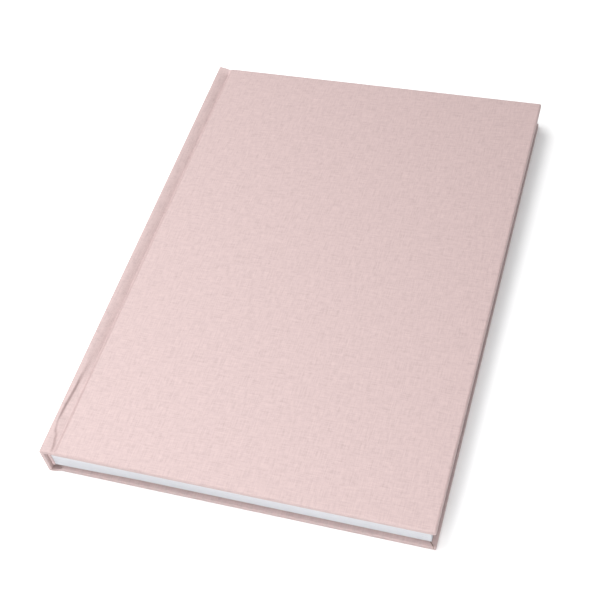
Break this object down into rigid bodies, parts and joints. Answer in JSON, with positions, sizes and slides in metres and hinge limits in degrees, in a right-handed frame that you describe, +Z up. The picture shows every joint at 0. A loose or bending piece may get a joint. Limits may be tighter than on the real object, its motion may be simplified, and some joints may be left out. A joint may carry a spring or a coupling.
{
  "type": "wedding guest book",
  "caption": "Closed cloth-bound guest book in blush pink linen, with hinged covers, pressed joints and sewn blank pages that fan open.",
  "frame": {"origin": "middle of the closed book's underside, on the surface it lies on", "axes": "+X from the spine to the fore edge, +Y from tail to head, +Z up out of the front cover"},
  "size_m": [0.2144, 0.305, 0.02],
  "materials": {
    "cover_cloth": "blush pink linen book cloth, fine slubby weave, matt with a slight sheen",
    "board": "grey millboard",
    "endpaper": "smooth uncoated white",
    "page": "uncoated bright white, cut edges",
    "gauze": "open cotton gauze and linen tape",
    "kraft": "brown kraft paper",
    "thread": "waxed linen thread",
    "band": "pale pink woven band with a corded bead"
  },
  "bodies": {
    "text_block": {"spine_board": "board", "spine_cloth": "cover_cloth", "front_joint_cloth": "cover_cloth", "back_joint_cloth": "cover_cloth", "front_endpaper_fold": "endpaper", "back_endpaper_fold": "endpaper", "back_flyleaf": "endpaper", "section_fold_1": "page", "section_fold_2": "page", "section_fold_3": "page", "section_fold_4": "page", "section_fold_5": "page", "section_fold_6": "page", "section_7": "page", "section_8": "page", "section_9": "page", "section_10": "page", "sewing_tape_1": "gauze", "sewing_tape_2": "gauze", "sewing_tape_3": "gauze", "sewing_thread": "thread", "mull": "gauze", "spine_lining": "kraft", "head_band": "band", "tail_band": "band"},
    "front_cover": {"front_board": "board", "front_cloth": "cover_cloth", "front_pastedown": "endpaper"},
    "back_cover": {"back_board": "board", "back_cloth": "cover_cloth", "back_pastedown": "endpaper"},
    "flyleaf": {"front_flyleaf": "endpaper"},
    "leaves_1": {"leaves_1": "page"},
    "leaves_2": {"leaves_2": "page"},
    "leaves_3": {"leaves_3": "page"},
    "leaves_4": {"leaves_4": "page"},
    "leaves_5": {"leaves_5": "page"},
    "leaves_6": {"leaves_6": "page"}
  },
  "joints": [
    {"name": "front_cover_hinge", "type": "hinge", "parent": "text_block", "child": "front_cover", "pos_m": [-0.10275, 0, 0.0185], "axis": [0, -1, 0], "range_deg": [0, 179], "deforming": ["front_joint_cloth", "front_endpaper_fold"]},
    {"name": "back_cover_hinge", "type": "hinge", "parent": "text_block", "child": "back_cover", "pos_m": [-0.10275, 0, 0.0015], "axis": [0, 1, 0], "range_deg": [0, 179], "deforming": ["back_joint_cloth", "back_endpaper_fold"]},
    {"name": "flyleaf_turn", "type": "hinge", "parent": "text_block", "child": "flyleaf", "pos_m": [-0.10275, 0, 0.0185], "axis": [0, -1, 0], "range_deg": [0, 178]},
    {"name": "leaves_1_turn", "type": "hinge", "parent": "text_block", "child": "leaves_1", "pos_m": [-0.10275, 0, 0.0185], "axis": [0, -1, 0], "range_deg": [0, 176]},
    {"name": "leaves_2_turn", "type": "hinge", "parent": "text_block", "child": "leaves_2", "pos_m": [-0.10275, 0, 0.0185], "axis": [0, -1, 0], "range_deg": [0, 174]},
    {"name": "leaves_3_turn", "type": "hinge", "parent": "text_block", "child": "leaves_3", "pos_m": [-0.10275, 0, 0.0185], "axis": [0, -1, 0], "range_deg": [0, 172]},
    {"name": "leaves_4_turn", "type": "hinge", "parent": "text_block", "child": "leaves_4", "pos_m": [-0.10275, 0, 0.0185], "axis": [0, -1, 0], "range_deg": [0, 170]},
    {"name": "leaves_5_turn", "type": "hinge", "parent": "text_block", "child": "leaves_5", "pos_m": [-0.10275, 0, 0.0185], "axis": [0, -1, 0], "range_deg": [0, 5.5]},
    {"name": "leaves_6_turn", "type": "hinge", "parent": "text_block", "child": "leaves_6", "pos_m": [-0.10275, 0, 0.0185], "axis": [0, -1, 0], "range_deg": [0, 3]}
  ],
  "couplings": [
    {"joint": "flyleaf_turn", "follows": "front_cover_hinge", "ratio": 0.99162},
    {"joint": "leaves_1_turn", "follows": "front_cover_hinge", "ratio": 0.98045},
    {"joint": "leaves_2_turn", "follows": "front_cover_hinge", "ratio": 0.96927},
    {"joint": "leaves_3_turn", "follows": "front_cover_hinge", "ratio": 0.9581},
    {"joint": "leaves_4_turn", "follows": "front_cover_hinge", "ratio": 0.94693},
    {"joint": "leaves_5_turn", "follows": "front_cover_hinge", "ratio": 0.027933},
    {"joint": "leaves_6_turn", "follows": "front_cover_hinge", "ratio": 0.013966}
  ]
}
